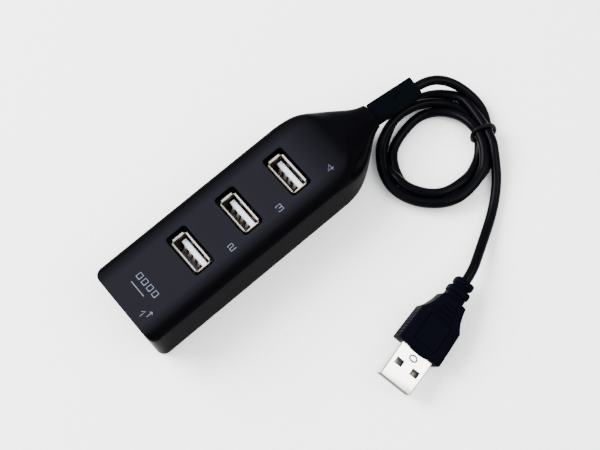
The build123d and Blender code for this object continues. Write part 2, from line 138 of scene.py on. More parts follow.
def noise(nodes, links, scale, detail=3.0):
    """A noise in the object's own space; scale is in features a metre."""
    coords = nodes.new("ShaderNodeTexCoord")
    texture = nodes.new("ShaderNodeTexNoise")
    texture.inputs["Scale"].default_value = scale
    texture.inputs["Detail"].default_value = detail
    links.new(coords.outputs["Object"], texture.inputs["Vector"])
    return texture.outputs["Fac"]


def ramp(nodes, links, source, low, high, start=0.3, end=0.7):
    """Maps a source that goes from start to end onto the values from low to high."""
    node = nodes.new("ShaderNodeMapRange")
    node.inputs["From Min"].default_value = start
    node.inputs["From Max"].default_value = end
    node.inputs["To Min"].default_value = low
    node.inputs["To Max"].default_value = high
    links.new(source, node.inputs["Value"])
    return node.outputs["Result"]


def material(name, colour, rough, metal=0.0, speck=(0.05, 2000), grain=None, vary=0.12, ior=1.5):
    """A plastic, rubber or metal. In specks of speck[1] a metre, its colour drifts by the share vary and its
    roughness over a range of speck[0]. A grain of (depth in mm, features a metre) roughens the surface."""
    made = bpy.data.materials.new(name)
    made.use_nodes = True
    nodes, links = made.node_tree.nodes, made.node_tree.links
    shader = nodes["Principled BSDF"]
    shader.inputs["Metallic"].default_value = metal
    shader.inputs["IOR"].default_value = ior
    tone = noise(nodes, links, speck[1])
    low = [c * (1 - vary) for c in colour]
    high = [min(c * (1 + vary), 1.0) for c in colour]
    links.new(mix_colour(nodes, links, tone, low, high), shader.inputs["Base Color"])
    drift = speck[0] / 2
    links.new(ramp(nodes, links, tone, rough - drift, rough + drift), shader.inputs["Roughness"])
    if grain:
        bump = nodes.new("ShaderNodeBump")
        bump.inputs["Strength"].default_value = 0.6
        bump.inputs["Distance"].default_value = grain[0] * MM
        links.new(noise(nodes, links, grain[1], 2.0), bump.inputs["Height"])
        links.new(bump.outputs["Normal"], shader.inputs["Normal"])
    return made


def fade_along(made, axis, start, end, values, limits=()):
    """Blends the material's own sockets into other values as the object's X, Y or Z goes from start to end
    mm. Each of limits = (axis, full, none) fades the other values out again."""
    nodes, links = made.node_tree.nodes, made.node_tree.links
    shader = nodes["Principled BSDF"]
    position = nodes.new("ShaderNodeTexCoord")
    split = nodes.new("ShaderNodeSeparateXYZ")
    links.new(position.outputs["Object"], split.inputs["Vector"])
    mask = ramp(nodes, links, split.outputs[axis], 0.0, 1.0, start * MM, end * MM)
    for name, full, none in limits:
        both = nodes.new("ShaderNodeMath")
        both.operation = "MULTIPLY"
        links.new(mask, both.inputs[0])
        links.new(ramp(nodes, links, split.outputs[name], 1.0, 0.0, full * MM, none * MM), both.inputs[1])
        mask = both.outputs["Value"]
    for socket, value in values.items():
        own = shader.inputs[socket].links[0].from_socket
        mix = nodes.new("ShaderNodeMix")
        mix.data_type = "RGBA" if socket == "Base Color" else "FLOAT"
        a, b, out = MIX_SOCKETS[mix.data_type]
        links.new(mask, mix.inputs[0])
        links.new(own, mix.inputs[a])
        mix.inputs[b].default_value = value
        links.new(mix.outputs[out], shader.inputs[socket])
    return made


def case_material():
    """Polished black with a rougher flat top, whose lighter colour is a painted sheen from the overhead
    light.
    The roughness and the painted sheen fade out where the shoulders and the nose begin.
    """
    made = material("case_gloss", CASE_BLACK, 0.18, speck=(0.05, 300), ior=CASE_IOR)
    # Painted sheen: the top's lighter colour stands in for the overhead light on it; its roughness is the
    # real finish.
    satin_and_painted_sheen = {"Base Color": (0.0066, 0.0064, 0.0088, 1), "Roughness": 0.42}
    limits = ("Y", 9.0, 13.2), ("Y", -9.0, -13.2), ("X", 21.0, 35.0)
    return fade_along(made, "Z", HEIGHT - 0.35, HEIGHT - 0.02, satin_and_painted_sheen, limits)


def insulator_material(name, axis, tip, inward):
    """White moulding with painted shade: it darkens from its tip down to the base, where the leaves are
    fixed.
    """
    made = material(name, (0.52, 0.57, 0.64), 0.35, vary=0.03)
    # Painted shade: the white tongue greys down into the port and is nearly black at its base.
    shaded = {"Base Color": (0.13, 0.135, 0.15, 1)}
    deepest_painted_shade = {"Base Color": (0.012, 0.009, 0.007, 1)}
    fade_along(made, axis, tip + 0.3 * inward, tip + 2.2 * inward, shaded)
    return fade_along(made, axis, tip + 6.4 * inward, tip + 9.2 * inward, deepest_painted_shade)


def make_materials():
    upright_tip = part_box("port_2_insulator")[1].z / MM
    end_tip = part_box("port_1_insulator")[0].x / MM
    return {
        "case_upper": case_material(),
        "case_lower": material("case_satin", CASE_BLACK, 0.22, speck=(0.06, 300), ior=CASE_IOR),
        "board": material("board_mask", (0.008, 0.045, 0.018), 0.35, vary=0.2),
        "chip_epoxy": material("chip_epoxy", (0.02, 0.02, 0.02), 0.6, grain=(0.01, 6000)),
        "tinned_copper": material("tinned_copper", (0.7, 0.7, 0.67), 0.3, metal=1.0, speck=(0.2, 3000)),
        "can_steel": material("can_steel", (0.7, 0.7, 0.7), 0.25, metal=1.0, speck=(0.2, 1500)),
        "capacitor_sleeve": material("capacitor_sleeve", (0.03, 0.035, 0.09), 0.3),
        "ceramic": material("ceramic", (0.5, 0.38, 0.24), 0.5),
        "resistor_black": material("resistor_black", (0.03, 0.03, 0.03), 0.4),
        "solder": material("solder", (0.75, 0.75, 0.76), 0.22, metal=1.0, speck=(0.15, 4000)),
        "wire_red": material("wire_red", (0.5, 0.02, 0.02), 0.35),
        "wire_white": material("wire_white", (0.75, 0.75, 0.72), 0.35),
        "wire_green": material("wire_green", (0.02, 0.28, 0.06), 0.35),
        "wire_black": material("wire_black", (0.015, 0.015, 0.015), 0.35),
        "cable_jacket": material("cable_jacket", (0.0009, 0.0009, 0.0016), 0.22, speck=(0.08, 300),
                                 ior=1.09),
        "sleeve_rubber": material("sleeve_rubber", (0.0005, 0.0009, 0.0016), 0.5, speck=(0.1, 900),
                                  grain=(0.02, 5200), ior=1.05),
        "tie_black": material("tie_black", (0.0012, 0.0012, 0.0014), 0.4, speck=(0.1, 900), ior=1.12),
        "overmould": material("overmould", (0.0011, 0.0011, 0.0028), 0.45, speck=(0.1, 900),
                              grain=(0.02, 5200), ior=1.035),
        "plug_nickel": material("plug_nickel", (0.86, 0.83, 0.8), 0.22, metal=1.0, speck=(0.06, 1200),
                                vary=0.02),
        "pressed_shadow": material("pressed_shadow", (0.035, 0.028, 0.02), 0.4, metal=1.0,
                                   speck=(0.1, 1500)),
        # A dark copy of the nickel: painted shade inside the plug's shell and on its front edge.
        "shell_painted_shade": material("shell_painted_shade", (0.3, 0.29, 0.24), 0.4, metal=1.0, speck=(0.1, 1500)),
        "plug_insulator": material("plug_insulator", (0.03, 0.03, 0.032), 0.45),
        "inner_moulding": material("inner_moulding", (0.4, 0.4, 0.38), 0.5),
        "contact_brass": material("contact_brass", (0.12, 0.1, 0.075), 0.45, metal=1.0,
                                  speck=(0.15, 2500)),
        "leaf_bronze": material("leaf_bronze", (0.3, 0.25, 0.22), 0.4, metal=0.4, speck=(0.15, 2500)),
        "receptacle_steel": material("receptacle_steel", (0.95, 0.94, 0.91), 0.45, metal=0.6,
                                     speck=(0.08, 1500), vary=0.04),
        # A dark copy of the steel: painted shade for the tube below the lips and for the cut edges.
        "receptacle_painted_shade": material("receptacle_painted_shade", (0.13, 0.1, 0.075), 0.4, metal=1.0,
                                      speck=(0.14, 1500)),
        "receptacle_white": insulator_material("receptacle_white", "Z", upright_tip, -1),
        "receptacle_white_end": insulator_material("receptacle_white_end", "X", end_tip, 1),
        "print_grey": material("print_grey", (0.05, 0.067, 0.102), 0.5, vary=0.15, speck=(0.1, 6000)),
        "print_faint": material("print_faint", (0.032, 0.044, 0.07), 0.5, vary=0.15, speck=(0.1, 6000)),
    }


# ---------------------------------------------------------------- outlines, meshes and curves


def rounded_outline(half_x, half_y, radius, steps=6):
    points = []
    for turn, (sx, sy) in enumerate(((1, 1), (-1, 1), (-1, -1), (1, -1))):
        for i in range(steps + 1):
            a = math.pi / 2 * (turn + i / steps)
            points.append((sx * (half_x - radius) + radius * math.cos(a),
                           sy * (half_y - radius) + radius * math.sin(a)))
    return points


def capsule(length, width, steps=8):
    """A stadium outline along Y centred on the origin."""
    points = []
    for side in (1, -1):
        for i in range(steps + 1):
            a = math.pi * i / steps
            across = side * width / 2 * math.cos(a)
            points.append((across, side * ((length - width) / 2 + width / 2 * math.sin(a))))
    return points


def object_from(mesh, name):
    data = bpy.data.meshes.new(name)
    mesh.to_mesh(data)
    mesh.free()
    return add_object(name, data)


def prism(name, outline, low, high):
    """An upright prism through an outline in mm."""
    mesh = bmesh.new()
    bottom = [mesh.verts.new((x * MM, y * MM, low * MM)) for x, y in outline]
    top = [mesh.verts.new((x * MM, y * MM, high * MM)) for x, y in outline]
    mesh.faces.new(list(reversed(bottom)))
    mesh.faces.new(top)
    for i in range(len(outline)):
        j = (i + 1) % len(outline)
        mesh.faces.new((bottom[i], bottom[j], top[j], top[i]))
    bmesh.ops.recalc_face_normals(mesh, faces=mesh.faces)
    return object_from(mesh, name)


def tube_mesh(name, outer, inner, low, high):
    """A straight tube between two outlines with equally many points."""
    mesh = bmesh.new()
    rings = [[mesh.verts.new((x * MM, y * MM, z * MM)) for x, y in outline]
             for outline, z in ((outer, low), (outer, high), (inner, high), (inner, low))]
    for a, b in zip(rings, rings[1:] + rings[:1]):
        for i in range(len(a)):
            j = (i + 1) % len(a)
            mesh.faces.new((a[i], a[j], b[j], b[i]))
    bmesh.ops.recalc_face_normals(mesh, faces=mesh.faces)
    return object_from(mesh, name)


def box_object(name, low, high, radius=0.0, axis="Z"):
    """A box in mm; its edges along axis may be rounded."""
    mesh = bmesh.new()
    bmesh.ops.create_cube(mesh, size=1.0)
    centre = (Vector(low) + Vector(high)) / 2
    size = Vector(high) - Vector(low)
    for vertex in mesh.verts:
        vertex.co = Vector([(centre[k] + vertex.co[k] * size[k]) * MM for k in range(3)])
    if radius:
        k = "XYZ".index(axis)
        along = [e for e in mesh.edges
                 if abs((e.verts[0].co - e.verts[1].co)[k]) > 0.5 * size[k] * MM]
        bmesh.ops.bevel(mesh, geom=along, offset=radius * MM, segments=8, profile=0.5, affect="EDGES")
    bmesh.ops.recalc_face_normals(mesh, faces=mesh.faces)
    return object_from(mesh, name)


def apply_modifiers(target):
    graph = bpy.context.evaluated_depsgraph_get()
    data = bpy.data.meshes.new_from_object(target.evaluated_get(graph))
    target.modifiers.clear()
    target.data = data


def combine(target, other, operation):
    """One exact boolean, applied; the other object is used up."""
    step = target.modifiers.new(operation, "BOOLEAN")
    step.operation = operation
    step.solver = "EXACT"
    step.object = other
    apply_modifiers(target)
    bpy.data.objects.remove(other)


def bevel_rims(piece, width, segments=4, angle=50):
    """A small bevel on every sharp edge, so that edges catch the light as moulded ones do."""
    bevel = piece.modifiers.new("rims", "BEVEL")
    bevel.width = width * MM
    bevel.segments = segments
    bevel.limit_method = "ANGLE"
    bevel.angle_limit = math.radians(angle)
    apply_modifiers(piece)


def smooth(piece, angle=32):
    for polygon in piece.data.polygons:
        polygon.use_smooth = True
    piece.data.set_sharp_from_angle(angle=math.radians(angle))


def strand(name, radius, facets):
    """An empty curve, whose splines are drawn as round strands of that radius in mm."""
    data = bpy.data.curves.new(name, "CURVE")
    data.dimensions = "3D"
    data.bevel_depth = radius * MM
    data.bevel_resolution = facets
    data.resolution_u = 10
    data.use_fill_caps = True
    return data


def add_spline(data, kind, places):
    """Adds one spline with a point at each place, in metres."""
    spline = data.splines.new(kind)
    spline.points.add(len(places) - 1)
    for point, place in zip(spline.points, places):
        point.co = (*place, 1)
    return spline


def drawn_mesh(data):
    """The mesh that a curve draws."""
    drawn = bpy.data.objects.new("drawn", data)
    mesh = bpy.data.meshes.new_from_object(drawn)
    bpy.data.objects.remove(drawn)
    return mesh


def finish_piece(piece, slot, look=None, body=HUB, stands_for=()):
    piece.data.materials.clear()
    piece.data.materials.append(look or LOOKS[slot])
    if stands_for:
        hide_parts(*stands_for)
    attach(piece, body)
    return piece


# ---------------------------------------------------------------- the housing's own form, in mm
LOW, HIGH = (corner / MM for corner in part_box("upper_case"))
END_X, NECK_X = LOW.x, HIGH.x
HALF_WIDTH, HEIGHT = HIGH.y, HIGH.z
NECK_HALF, NECK_LOW, NECK_TOP = 4.3, 6.1, 14.9
WALL = 1.8
PARTING = 6.4
SEAM = 0.02
# How an edge draws in from the housing to the neck: the x where it starts and ends, and the power for ease()
SIDE_TAPER = (24, 52, 1.5)
UNDERSIDE_TAPER = (30, 52, 1.35)
TOP_TAPER = (30, 52, 1.29)
FLAT_TAPER = (22, 40, 2.2)
SHOULDER_TAPER = (22, 38, 1.0)
STRAIGHT_END = 19.0
# Radii that round the flat end into the sides, the underside, the top and the sides of the flat top
END_CORNER, END_UNDERSIDE, END_TOP, END_FLAT = 3.0, 0.4, 0.5, 1.0
# Half the flat top's width at the neck, and what the housing adds to it
NECK_FLAT, FLAT_GAIN = 0.6, 11.1
# How far the shoulder comes down the side, and on the neck its share of the height
SHOULDER_DROP, NECK_SHOULDER = 3.5, 0.47
# The lower corners' radius on the housing, and what the neck adds to it
LOWER_CORNER, NECK_CORNER_GAIN = 0.7, 3.0
# The inner face's curves shrink by these shares of its inset, and no curve gets smaller than the least one
INSET_SHARE, FLAT_INSET_SHARE, LEAST = 0.8, 0.2, 0.3
# Half sizes of the windows in the top along X and Y, and of the one in the end along Y and Z
TOP_WINDOW, END_WINDOW = (3.95, 8.0), (7.25, 3.55)
TOP_WINDOW_CORNER, END_WINDOW_CORNER = 1.2, 0.8
# How far the end window's middle lies above the underside of port 1's insulator
END_WINDOW_RISE = 2.65
# Opposite corners of the strain relief's opening in the neck, as (y, z)
NECK_OPENING = (-2.65, 8.55), (2.55, 12.45)


def ease(x, start, end, power):
    """Falls smoothly from 1 at start to 0 at end; a larger power keeps it high for longer."""
    t = min(max((x - start) / (end - start), 0.0), 1.0)
    return (1 + math.cos(math.pi * t**power)) / 2


def corner_pull(x, radius):
    """How far a rounded edge of the flat end has drawn in at x."""
    depth = max(radius - (x - END_X), 0.0)
    return radius - math.sqrt(max(radius**2 - depth**2, 0.0))


def section_outline(x, inset=0.0, arc_steps=14, side_steps=6, flat_steps=5):
    """The housing's section at x as (y, z) points in mm, anticlockwise from the lower right."""
    spread = ease(x, *SIDE_TAPER)
    half = NECK_HALF + (HALF_WIDTH - NECK_HALF) * spread - corner_pull(x, END_CORNER) - inset
    low = NECK_LOW * (1 - ease(x, *UNDERSIDE_TAPER)) + corner_pull(x, END_UNDERSIDE)
    top = NECK_TOP + (HEIGHT - NECK_TOP) * ease(x, *TOP_TAPER) - corner_pull(x, END_TOP)
    flat = NECK_FLAT + FLAT_GAIN * ease(x, *FLAT_TAPER) - corner_pull(x, END_FLAT)
    flat = max(flat - FLAT_INSET_SHARE * inset, LEAST)
    neck_drop = NECK_SHOULDER * (top - low)
    drop = SHOULDER_DROP + (neck_drop - SHOULDER_DROP) * (1 - ease(x, *SHOULDER_TAPER)) - INSET_SHARE * inset
    corner = max(LOWER_CORNER + NECK_CORNER_GAIN * (1 - spread) - INSET_SHARE * inset, LEAST)
    low, top = low + inset, top - inset
    right = []
    for i in range(arc_steps + 1):
        a = math.pi / 2 * (i / arc_steps - 1)
        right.append((half - corner + corner * math.cos(a), low + corner + corner * math.sin(a)))
    for i in range(1, side_steps):
        right.append((half, low + corner + (top - drop - low - corner) * i / side_steps))
    shoulder_steps = 2 * arc_steps
    for i in range(shoulder_steps + 1):
        a = math.pi / 2 * i / shoulder_steps
        right.append((flat + (half - flat) * math.cos(a), top - drop + drop * math.sin(a)))
    right += [(flat * (1 - i / flat_steps), top) for i in range(1, flat_steps)]
    left = [(-y, z) for y, z in reversed(right)]
    return right + [(0, top)] + left + [(0, low)]


def section_places(start, end, corner_steps=16, nose_steps=64, gap=4.0):
    """Where the sections lie along X: close together in the rounded end and the nose, gap apart between."""
    reach = 1.05 * END_CORNER
    turns = [math.pi / 2 * i / corner_steps for i in range(corner_steps + 1)]
    places = [start + reach * (1 - math.cos(a)) for a in turns]
    x = places[-1]
    while x < STRAIGHT_END:
        x += gap
        places.append(min(x, STRAIGHT_END))
    return places + [STRAIGHT_END + (end - STRAIGHT_END) * i / nose_steps for i in range(1, nose_steps + 1)]


def form_mesh(name, inset, start, end):
    """A closed mesh through the sections from start to end."""
    mesh = bmesh.new()
    rings = []
    for x in section_places(start, end):
        rings.append([mesh.verts.new((x * MM, y * MM, z * MM)) for y, z in section_outline(x, inset)])
    for a, b in zip(rings, rings[1:]):
        for i in range(len(a)):
            j = (i + 1) % len(a)
            mesh.faces.new((a[i], b[i], b[j], a[j]))
    mesh.faces.new(rings[0])
    mesh.faces.new(list(reversed(rings[-1])))
    bmesh.ops.recalc_face_normals(mesh, faces=mesh.faces)
    return object_from(mesh, name)


def window_cutters():
    """Boxes for the four port windows, each round its receptacle's rim."""
    cutters = []
    half_x, half_y = TOP_WINDOW
    for number in (2, 3, 4):
        low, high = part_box(f"port_{number}_shell")
        x = ((low + high) / 2 / MM).x
        cutters.append(box_object("cutter", (x - half_x, -half_y, HEIGHT - 5),
                                  (x + half_x, half_y, HEIGHT + 2), TOP_WINDOW_CORNER))
    half_y, half_z = END_WINDOW
    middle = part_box("port_1_insulator")[0].z / MM + END_WINDOW_RISE
    cutters.append(box_object("cutter", (END_X - 2, -half_y, middle - half_z),
                              (END_X + 5, half_y, middle + half_z), END_WINDOW_CORNER, "X"))
    return cutters


def make_housing():
    """One hollow form with its windows, cut at the parting line into an upper and a lower piece."""
    shell = form_mesh("shell", 0.0, END_X, NECK_X)
    core = form_mesh("core", WALL, END_X + WALL, NECK_X - 4.0)
    combine(shell, core, "DIFFERENCE")
    for cutter in window_cutters():
        combine(shell, cutter, "DIFFERENCE")
    low, high = NECK_OPENING
    combine(shell, box_object("cutter", (NECK_X - 6, *low), (NECK_X + 2, *high), 0.3, "X"), "DIFFERENCE")
    bevel_rims(shell, 0.12, 2)
    lower = shell.copy()
    lower.data = shell.data.copy()
    bpy.context.scene.collection.objects.link(lower)
    shell.name, lower.name = "housing_upper", "housing_lower"
    combine(shell, box_object("cutter", (-60, -20, PARTING + SEAM), (60, 20, 30)), "INTERSECT")
    combine(lower, box_object("cutter", (-60, -20, -5), (60, 20, PARTING - SEAM)), "INTERSECT")
    for piece, slot, node in ((shell, "case_upper", "upper_case"), (lower, "case_lower", "lower_case")):
        smooth(piece)
        finish_piece(piece, slot, stands_for=[node])


# ---------------------------------------------------------------- receptacles, in mm
SHEET = 0.3
SHELL_X, SHELL_Y = 5.7, 13.1
RIM_DEPTH, RIM_RISE, RIM_REACH = 1.1, 0.75, 0.4
LONG_LIP, SHORT_LIP, LIP_ROOT = 11.5, 4.1, 0.3
# The sprung tabs: how far from the middle, how far they are pressed in, and (half width, low, high) of the
# slot and of the tab in it
TAB_Y, TAB_PRESS = 3.2, 0.12
SLOT, TAB = (0.95, 4.7, 10.1), (0.65, 4.4, 9.6)
# The legs: half their width, how far they reach out, and how far up port 1's shell its legs leave it
LEG_HALF, LEG_REACH, SIDE_LEG_RISE = 0.8, 2.4, 4.0
LEAF_Y = (-3.5, -1.0, 1.0, 3.5)
LEAF_THICKNESS, LEAF_WIDTH = 0.25, 1.0
# A leaf's middle line as (x, z), from its foot in the base over the bow to its free end
LEAF_LINE = (
    (0.47, 2.9), (0.46, 3.9), (0.32, 5.3), (-0.3, 6.5), (-0.8, 7.2), (-0.93, 7.65), (-0.78, 8.15),
    (-0.3, 9.0), (-0.08, 9.6),
)


def port_frames():
    """Each port's own frame, its mouth up +Z, its base on the board and its tongue towards +X."""
    board_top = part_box("port_2_insulator")[0].z / MM
    tall = HEIGHT - RIM_DEPTH - board_top
    middle_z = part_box("port_1_insulator")[0].z / MM - SHEET + SHELL_X / 2
    end = Matrix.Translation(((END_X + RIM_DEPTH + tall) * MM, 0, middle_z * MM))
    frames = {1: end @ Matrix.Rotation(math.radians(-90), 4, "Y")}
    for number in (2, 3, 4):
        low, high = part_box(f"port_{number}_shell")
        frames[number] = Matrix.Translation(((low.x + high.x) / 2, 0, board_top * MM))
    return frames, tall


def rim_lip(outward, length, start, base):
    """One side of the rim: the sheet flares outward as it rises."""
    slope = Vector((RIM_REACH, RIM_RISE)).normalized() * SHEET
    profile = [(0, -LIP_ROOT), (0, 0), (RIM_REACH, RIM_RISE), (RIM_REACH + slope.y, RIM_RISE - slope.x),
               (SHEET, -LIP_ROOT / 2), (SHEET, -LIP_ROOT)]
    piece = prism("lip", profile, -length / 2, length / 2)
    out, up = Vector((*outward, 0)), Vector((0, 0, 1))
    turn = Matrix((out, up, out.cross(up))).transposed().to_4x4()
    piece.data.transform(Matrix.Translation((out * start + up * base) * MM) @ turn)
    return piece


def add_tab(case, side, y):
    """Cuts a slot into a long side and sets a sprung tab in it, pressed a little inward."""
    x = side * (SHELL_X / 2 - SHEET / 2)
    half, low, high = SLOT
    combine(case, box_object("slot", (x - 0.5, y - half, low), (x + 0.5, y + half, high)), "DIFFERENCE")
    x = x - side * TAB_PRESS
    half, low, high = TAB
    tab = box_object("tab", (x - SHEET / 2, y - half, low), (x + SHEET / 2, y + half, high))
    combine(case, tab, "UNION")


def shell_leg(side, upright):
    """A leg on a short side: down past the base of an upright port, sideways from the one that lies flat."""
    y = side * (SHELL_Y / 2 - SHEET / 2)
    if upright:
        left, right, bottom, top = -LEG_HALF, LEG_HALF, -LEG_REACH, LEG_HALF
    else:
        left, right = -SHELL_X / 2 - LEG_REACH, 0
        bottom, top = SIDE_LEG_RISE - LEG_HALF, SIDE_LEG_RISE + LEG_HALF
    return box_object("leg", (left, y - SHEET / 2, bottom), (right, y + SHEET / 2, top))


def receptacle_case(tall, upright):
    """The stamped shell: a tube with sprung tabs in its long sides, four flared lips and two legs."""
    top = tall - RIM_RISE
    outer = rounded_outline(SHELL_X / 2, SHELL_Y / 2, 0.7)
    inner = rounded_outline(SHELL_X / 2 - SHEET, SHELL_Y / 2 - SHEET, 0.45)
    case = tube_mesh("case", outer, inner, 0.1, top - 0.2)
    for side in (-1, 1):
        for y in (-TAB_Y, TAB_Y):
            add_tab(case, side, y)
        combine(case, rim_lip((side, 0), LONG_LIP, SHELL_X / 2 - SHEET, top), "UNION")
        combine(case, rim_lip((0, side), SHORT_LIP, SHELL_Y / 2 - SHEET, top), "UNION")
        combine(case, shell_leg(side, upright), "UNION")
    return case


def paint_shade_below_lips(case, lowest):
    """Bright metal on the flared faces above lowest mm; a dark copy of it on the cut edges and further down
    is painted shade.
    """
    case.data.materials.clear()
    case.data.materials.append(LOOKS["receptacle_steel"])
    case.data.materials.append(LOOKS["receptacle_painted_shade"])
    # Painted shade: every face but the flared ones takes the dark copy of the steel.
    for polygon in case.data.polygons:
        flared = polygon.center.z > lowest * MM and polygon.normal.z < 0.6
        polygon.material_index = 0 if flared else 1


def contact_leaves():
    """Four bowed strips, their feet in the base and their bows clear of the tongue's face."""
    half = LEAF_THICKNESS / 2
    profile = [(x - half, z) for x, z in LEAF_LINE] + [(x + half, z) for x, z in reversed(LEAF_LINE)]
    leaves = [prism("leaf", profile, y - LEAF_WIDTH / 2, y + LEAF_WIDTH / 2) for y in LEAF_Y]
    stand_up = Matrix(((1, 0, 0, 0), (0, 0, -1, 0), (0, 1, 0, 0), (0, 0, 0, 1)))
    joined = bmesh.new()
    for leaf in leaves:
        leaf.data.transform(stand_up)
        joined.from_mesh(leaf.data)
        bpy.data.objects.remove(leaf)
    return object_from(joined, "leaves")


def make_receptacles():
    frames, tall = port_frames()
    for number, place in frames.items():
        case = receptacle_case(tall, number > 1)
        paint_shade_below_lips(case, tall - RIM_RISE - 0.1)
        case.name = f"port_{number}_case"
        case.data.transform(place)
        smooth(case, 40)
        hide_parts(f"port_{number}_shell")
        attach(case, HUB)
        leaves = contact_leaves()
        leaves.name = f"port_{number}_springs"
        leaves.data.transform(place)
        smooth(leaves, 30)
        finish_piece(leaves, "contact_brass", look=LOOKS["leaf_bronze"], body=f"port_{number}_leaves",
                     stands_for=[f"port_{number}_contacts"])


# ---------------------------------------------------------------- the cord, in mm
CABLE = 3.3
LEAD_ROUTE = (
    (68.88, -2.04, 10.5), (72.4, -2.5, 10.3), (76.6, -4.3, 9.0), (79.9, -7.4, 6.9),
    (82.0, -11.6, 4.6), (82.8, -17.0, 3.1), (81.8, -22.2, 2.0),
)
TAIL_ROUTE = (
    (77.1, -30.2, 4.9), (74.0, -34.9, 4.2), (70.2, -40.2, 2.6), (65.6, -44.8, 1.75),
    (59.4, -49.4, 1.9), (52.7, -53.35, 2.7), (46.6, -56.9, 4.2), (41.3, -59.95, 5.7), (37.13, -61.1, 5.88),
)
COIL_CENTRE = (61.0, -21.5)
COIL_START = -18.0
# How the three turns wander: degrees round from the tie, radius and height of the cord's axis
COIL_KNOTS = (
    (0, 17.9, 1.65), (45, 16.8, 1.65), (75, 15.4, 1.65), (135, 16.4, 1.65), (195, 14.9, 1.65),
    (240, 13.4, 1.65), (285, 14.5, 2.0), (315, 14.4, 3.4), (345, 14.3, 4.95),
    (375, 15.0, 4.95), (420, 16.7, 4.6), (465, 18.7, 4.4), (525, 20.0, 4.0), (560, 18.9, 4.7),
    (600, 17.7, 4.95), (645, 17.5, 3.6), (675, 17.5, 2.5), (705, 16.4, 1.65),
    (735, 14.0, 1.65), (768, 13.3, 1.9), (795, 13.7, 4.2), (840, 15.6, 4.6), (885, 16.7, 4.6),
    (915, 18.1, 1.9), (945, 17.9, 1.65), (975, 19.1, 1.65), (1005, 21.1, 1.65), (1035, 21.0, 3.3),
    (1060, 18.2, 4.6),
)


def wander(angle, column):
    """A coil knot's value at an angle, eased between its neighbours."""
    for a, b in zip(COIL_KNOTS, COIL_KNOTS[1:]):
        if angle <= b[0]:
            t = (angle - a[0]) / (b[0] - a[0])
            t = t * t * (3 - 2 * t)
            return a[column] + (b[column] - a[column]) * t
    return COIL_KNOTS[-1][column]


def coil_points(step=15):
    """The coil's points as (x, y, z), one every step degrees."""
    points = []
    last = COIL_KNOTS[-1][0]
    for angle in range(step, last + 1, step):
        turn = math.radians(COIL_START - angle)
        radius, height = wander(angle, 1), wander(angle, 2)
        x, y = COIL_CENTRE[0] + radius * math.cos(turn), COIL_CENTRE[1] + radius * math.sin(turn)
        points.append((x, y, height))
    return points


def make_cord():
    route = list(LEAD_ROUTE) + coil_points() + list(TAIL_ROUTE)
    data = strand("cord", CABLE / 2, 7)
    spline = add_spline(data, "NURBS", [[v * MM for v in place] for place in route])
    spline.order_u = 3
    spline.use_endpoint_u = True
    cord = add_object("cord", data)
    return finish_piece(cord, "cable_jacket", stands_for=["cable_lead", "cable_coil", "cable_tail"])


# ---------------------------------------------------------------- printed marks, in mm
STROKE = 0.26
INK_RISE = 0.09
# Each mark's strokes on a square of side 1
MARKS = {
    "1": [[(0.15, 0.58), (0.55, 1.0), (0.55, 0.0)]],
    "2": [[(0.05, 0.8), (0.05, 1.0), (0.85, 1.0), (0.85, 0.5), (0.05, 0.5), (0.05, 0.0), (0.95, 0.0)]],
    "3": [[(0.05, 0.8), (0.05, 1.0), (0.9, 1.0), (0.9, 0.0), (0.05, 0.0), (0.05, 0.2)],
          [(0.35, 0.5), (0.9, 0.5)]],
    "4": [[(0.7, 0.0), (0.7, 1.0), (0.0, 0.28), (1.0, 0.28)]],
    "arrow": [[(0.5, 0.0), (0.5, 1.0)], [(0.1, 0.72), (0.5, 1.0), (0.9, 0.72)]],
    "port": [[(0.0, 0.0), (1.0, 0.0), (1.0, 1.0), (0.0, 1.0), (0.0, 0.0)]],
    "bar": [[(0.0, 0.0), (0.0, 1.0)]],
}


def print_mark(name, shape, at, size, turn=0.0, ink="print_grey"):
    """Ink strokes on the flat top; size is the mark's width and height, turn the way its top points."""
    width, height = size
    data = strand(name, STROKE / 2, 2)
    for stroke in MARKS[shape]:
        add_spline(data, "POLY", [((x - 0.5) * width * MM, (y - 0.5) * height * MM, 0) for x, y in stroke])
    mesh = drawn_mesh(data)
    place = Matrix.Translation((at[0] * MM, at[1] * MM, HEIGHT * MM))
    place = place @ Matrix.Rotation(math.radians(turn), 4, "Z")
    mesh.transform(place @ Matrix.Diagonal((1, 1, INK_RISE, 1)))
    mark = add_object(name, mesh)
    smooth(mark, 60)
    return finish_piece(mark, "case_upper", look=LOOKS[ink])


def make_marks():
    """The ports' numbers, an arrow to the end port, and a row of four port outlines over a rule."""
    print_mark("mark_2", "2", (-12.8, -7.9), (2.1, 2.0))
    print_mark("mark_3", "3", (6.7, -7.9), (2.1, 2.0))
    print_mark("mark_4", "4", (27.1, -8.2), (2.2, 2.2), ink="print_faint")
    print_mark("mark_1", "1", (-47.1, -6.2), (2.2, 2.3), -90, "print_faint")
    print_mark("mark_arrow", "arrow", (-45.6, -7.9), (1.5, 2.2), -90, "print_faint")
    for i in range(4):
        print_mark(f"mark_port_{i + 1}", "port", (-40.3, 3.9 - 2.6 * i), (1.9, 1.5))
    print_mark("mark_rule", "bar", (-42.9, 1.1), (1.0, 6.4))


# ---------------------------------------------------------------- the plug, in mm
PLUG_ROOT = (10.44, -67.76, 6.6)
PLUG_HEADING, PLUG_PITCH, PLUG_ROLL = 194.0, -1.5, -22.0
GRIP_HALF, GRIP_THICKNESS = 8.05, 7.6
PLUG_CASE = (12.0, 4.5)
PLUG_TIP = 12.6
CASE_CORNER = 0.5
GROOVE_DEPTH = 0.3
# The raised panel on the grip: where its middle lies along X, its half sizes and the width of its groove
PANEL_X, PANEL_HALF, PANEL_GROOVE = -6.9, (4.6, 4.0), 0.4
